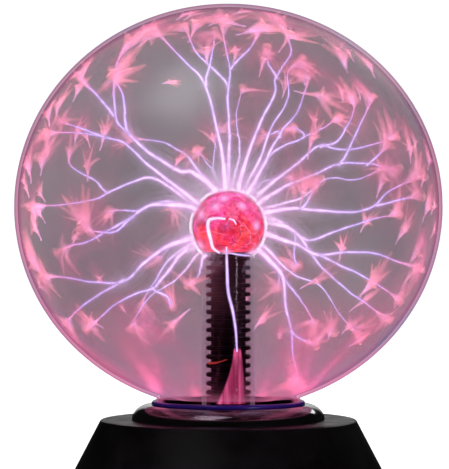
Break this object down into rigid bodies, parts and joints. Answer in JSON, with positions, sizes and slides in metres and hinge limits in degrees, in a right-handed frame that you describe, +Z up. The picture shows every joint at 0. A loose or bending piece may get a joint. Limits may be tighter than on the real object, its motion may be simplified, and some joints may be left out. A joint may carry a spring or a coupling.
{
  "type": "plasma ball",
  "caption": "Desk plasma ball: a clear gas-filled glass globe with a bulb electrode on a black ridged stem, held by a glossy collar in a flared black base with a rear switch and power inlet.",
  "frame": {"origin": "centre of the plane that the feet rest on, on the globe's axis", "axes": "+Z up through the globe, -Y towards the front, +Y towards the rear panel with the inlet and the switch"},
  "size_m": [0.2, 0.2, 0.2473],
  "materials": {
    "glass_globe": "clear, lead-free, glowing with violet-pink discharge when on",
    "glass_stem": "clear tube with a bulb at its top",
    "exhaust_tip": "fire-sealed pip",
    "electrode_wool": "fine metal wool, red in the glow",
    "stem_sleeve": "black, ridged",
    "hv_lead": "silicone insulation",
    "lead_tip": "bare end",
    "neck_ring": "deep blue, smooth",
    "neck_seal": "silicone bead",
    "collar": "polished black",
    "neck_cushion": "foam",
    "seat_cup": "moulded",
    "seat_screws": "zinc plated",
    "base_shell": "satin black moulding",
    "base_plate": "fine-textured black moulding",
    "plate_screws": "blackened",
    "rating_label": "blank silver film",
    "circuit_board": "green solder mask",
    "board_screws": "zinc plated",
    "transformer_cradle": "moulded",
    "core_left": "ferrite, ground faces",
    "core_right": "ferrite, ground faces",
    "secondary_bobbin": "natural nylon",
    "secondary_winding": "enamelled fine copper wire",
    "primary_bobbin": "natural nylon",
    "primary_winding": "enamelled copper wire",
    "heat_sink": "extruded, bare",
    "power_transistor": "moulded body on a metal tab",
    "transistor_screw": "zinc plated",
    "electrolytic_1": "sleeved can",
    "electrolytic_2": "sleeved can",
    "film_capacitor": "dipped box",
    "control_chip": "moulded",
    "trimmer": "moulded",
    "resistor_1": "lacquered",
    "resistor_2": "lacquered",
    "resistor_3": "lacquered",
    "resistor_4": "lacquered",
    "dc_jack": "moulded",
    "jack_pin": "nickel plated",
    "jack_wire_positive": "insulated wire",
    "jack_wire_negative": "insulated wire",
    "switch_body": "pressed frame",
    "switch_knob": "ribbed top",
    "switch_screws": "blackened",
    "switch_wires": "insulated wire",
    "microphone": "capsule",
    "microphone_wires": "insulated wire",
    "foot_1": "soft, slightly rough",
    "foot_2": "soft, slightly rough",
    "foot_3": "soft, slightly rough",
    "foot_4": "soft, slightly rough"
  },
  "bodies": {
    "housing": {"glass_globe": "glass_globe", "glass_stem": "glass_stem", "exhaust_tip": "exhaust_tip", "electrode_wool": "electrode_wool", "stem_sleeve": "stem_sleeve", "hv_lead": "hv_lead", "lead_tip": "lead_tip", "neck_ring": "neck_ring", "neck_seal": "neck_seal", "collar": "collar", "neck_cushion": "neck_cushion", "seat_cup": "seat_cup", "seat_screws": "seat_screws", "base_shell": "base_shell", "base_plate": "base_plate", "plate_screws": "plate_screws", "rating_label": "rating_label", "circuit_board": "circuit_board", "board_screws": "board_screws", "transformer_cradle": "transformer_cradle", "core_left": "core_left", "core_right": "core_right", "secondary_bobbin": "secondary_bobbin", "secondary_winding": "secondary_winding", "primary_bobbin": "primary_bobbin", "primary_winding": "primary_winding", "heat_sink": "heat_sink", "power_transistor": "power_transistor", "transistor_screw": "transistor_screw", "electrolytic_1": "electrolytic_1", "electrolytic_2": "electrolytic_2", "film_capacitor": "film_capacitor", "control_chip": "control_chip", "trimmer": "trimmer", "resistor_1": "resistor_1", "resistor_2": "resistor_2", "resistor_3": "resistor_3", "resistor_4": "resistor_4", "dc_jack": "dc_jack", "jack_pin": "jack_pin", "jack_wire_positive": "jack_wire_positive", "jack_wire_negative": "jack_wire_negative", "switch_body": "switch_body", "switch_screws": "switch_screws", "switch_wires": "switch_wires", "microphone": "microphone", "microphone_wires": "microphone_wires", "foot_1": "foot_1", "foot_2": "foot_2", "foot_3": "foot_3", "foot_4": "foot_4"},
    "knob": {"switch_knob": "switch_knob"}
  },
  "joints": [
    {"name": "switch_slide", "type": "slide", "parent": "housing", "child": "knob", "axis": [1, 0, 0], "range_m": [0, 0.004]}
  ]
}
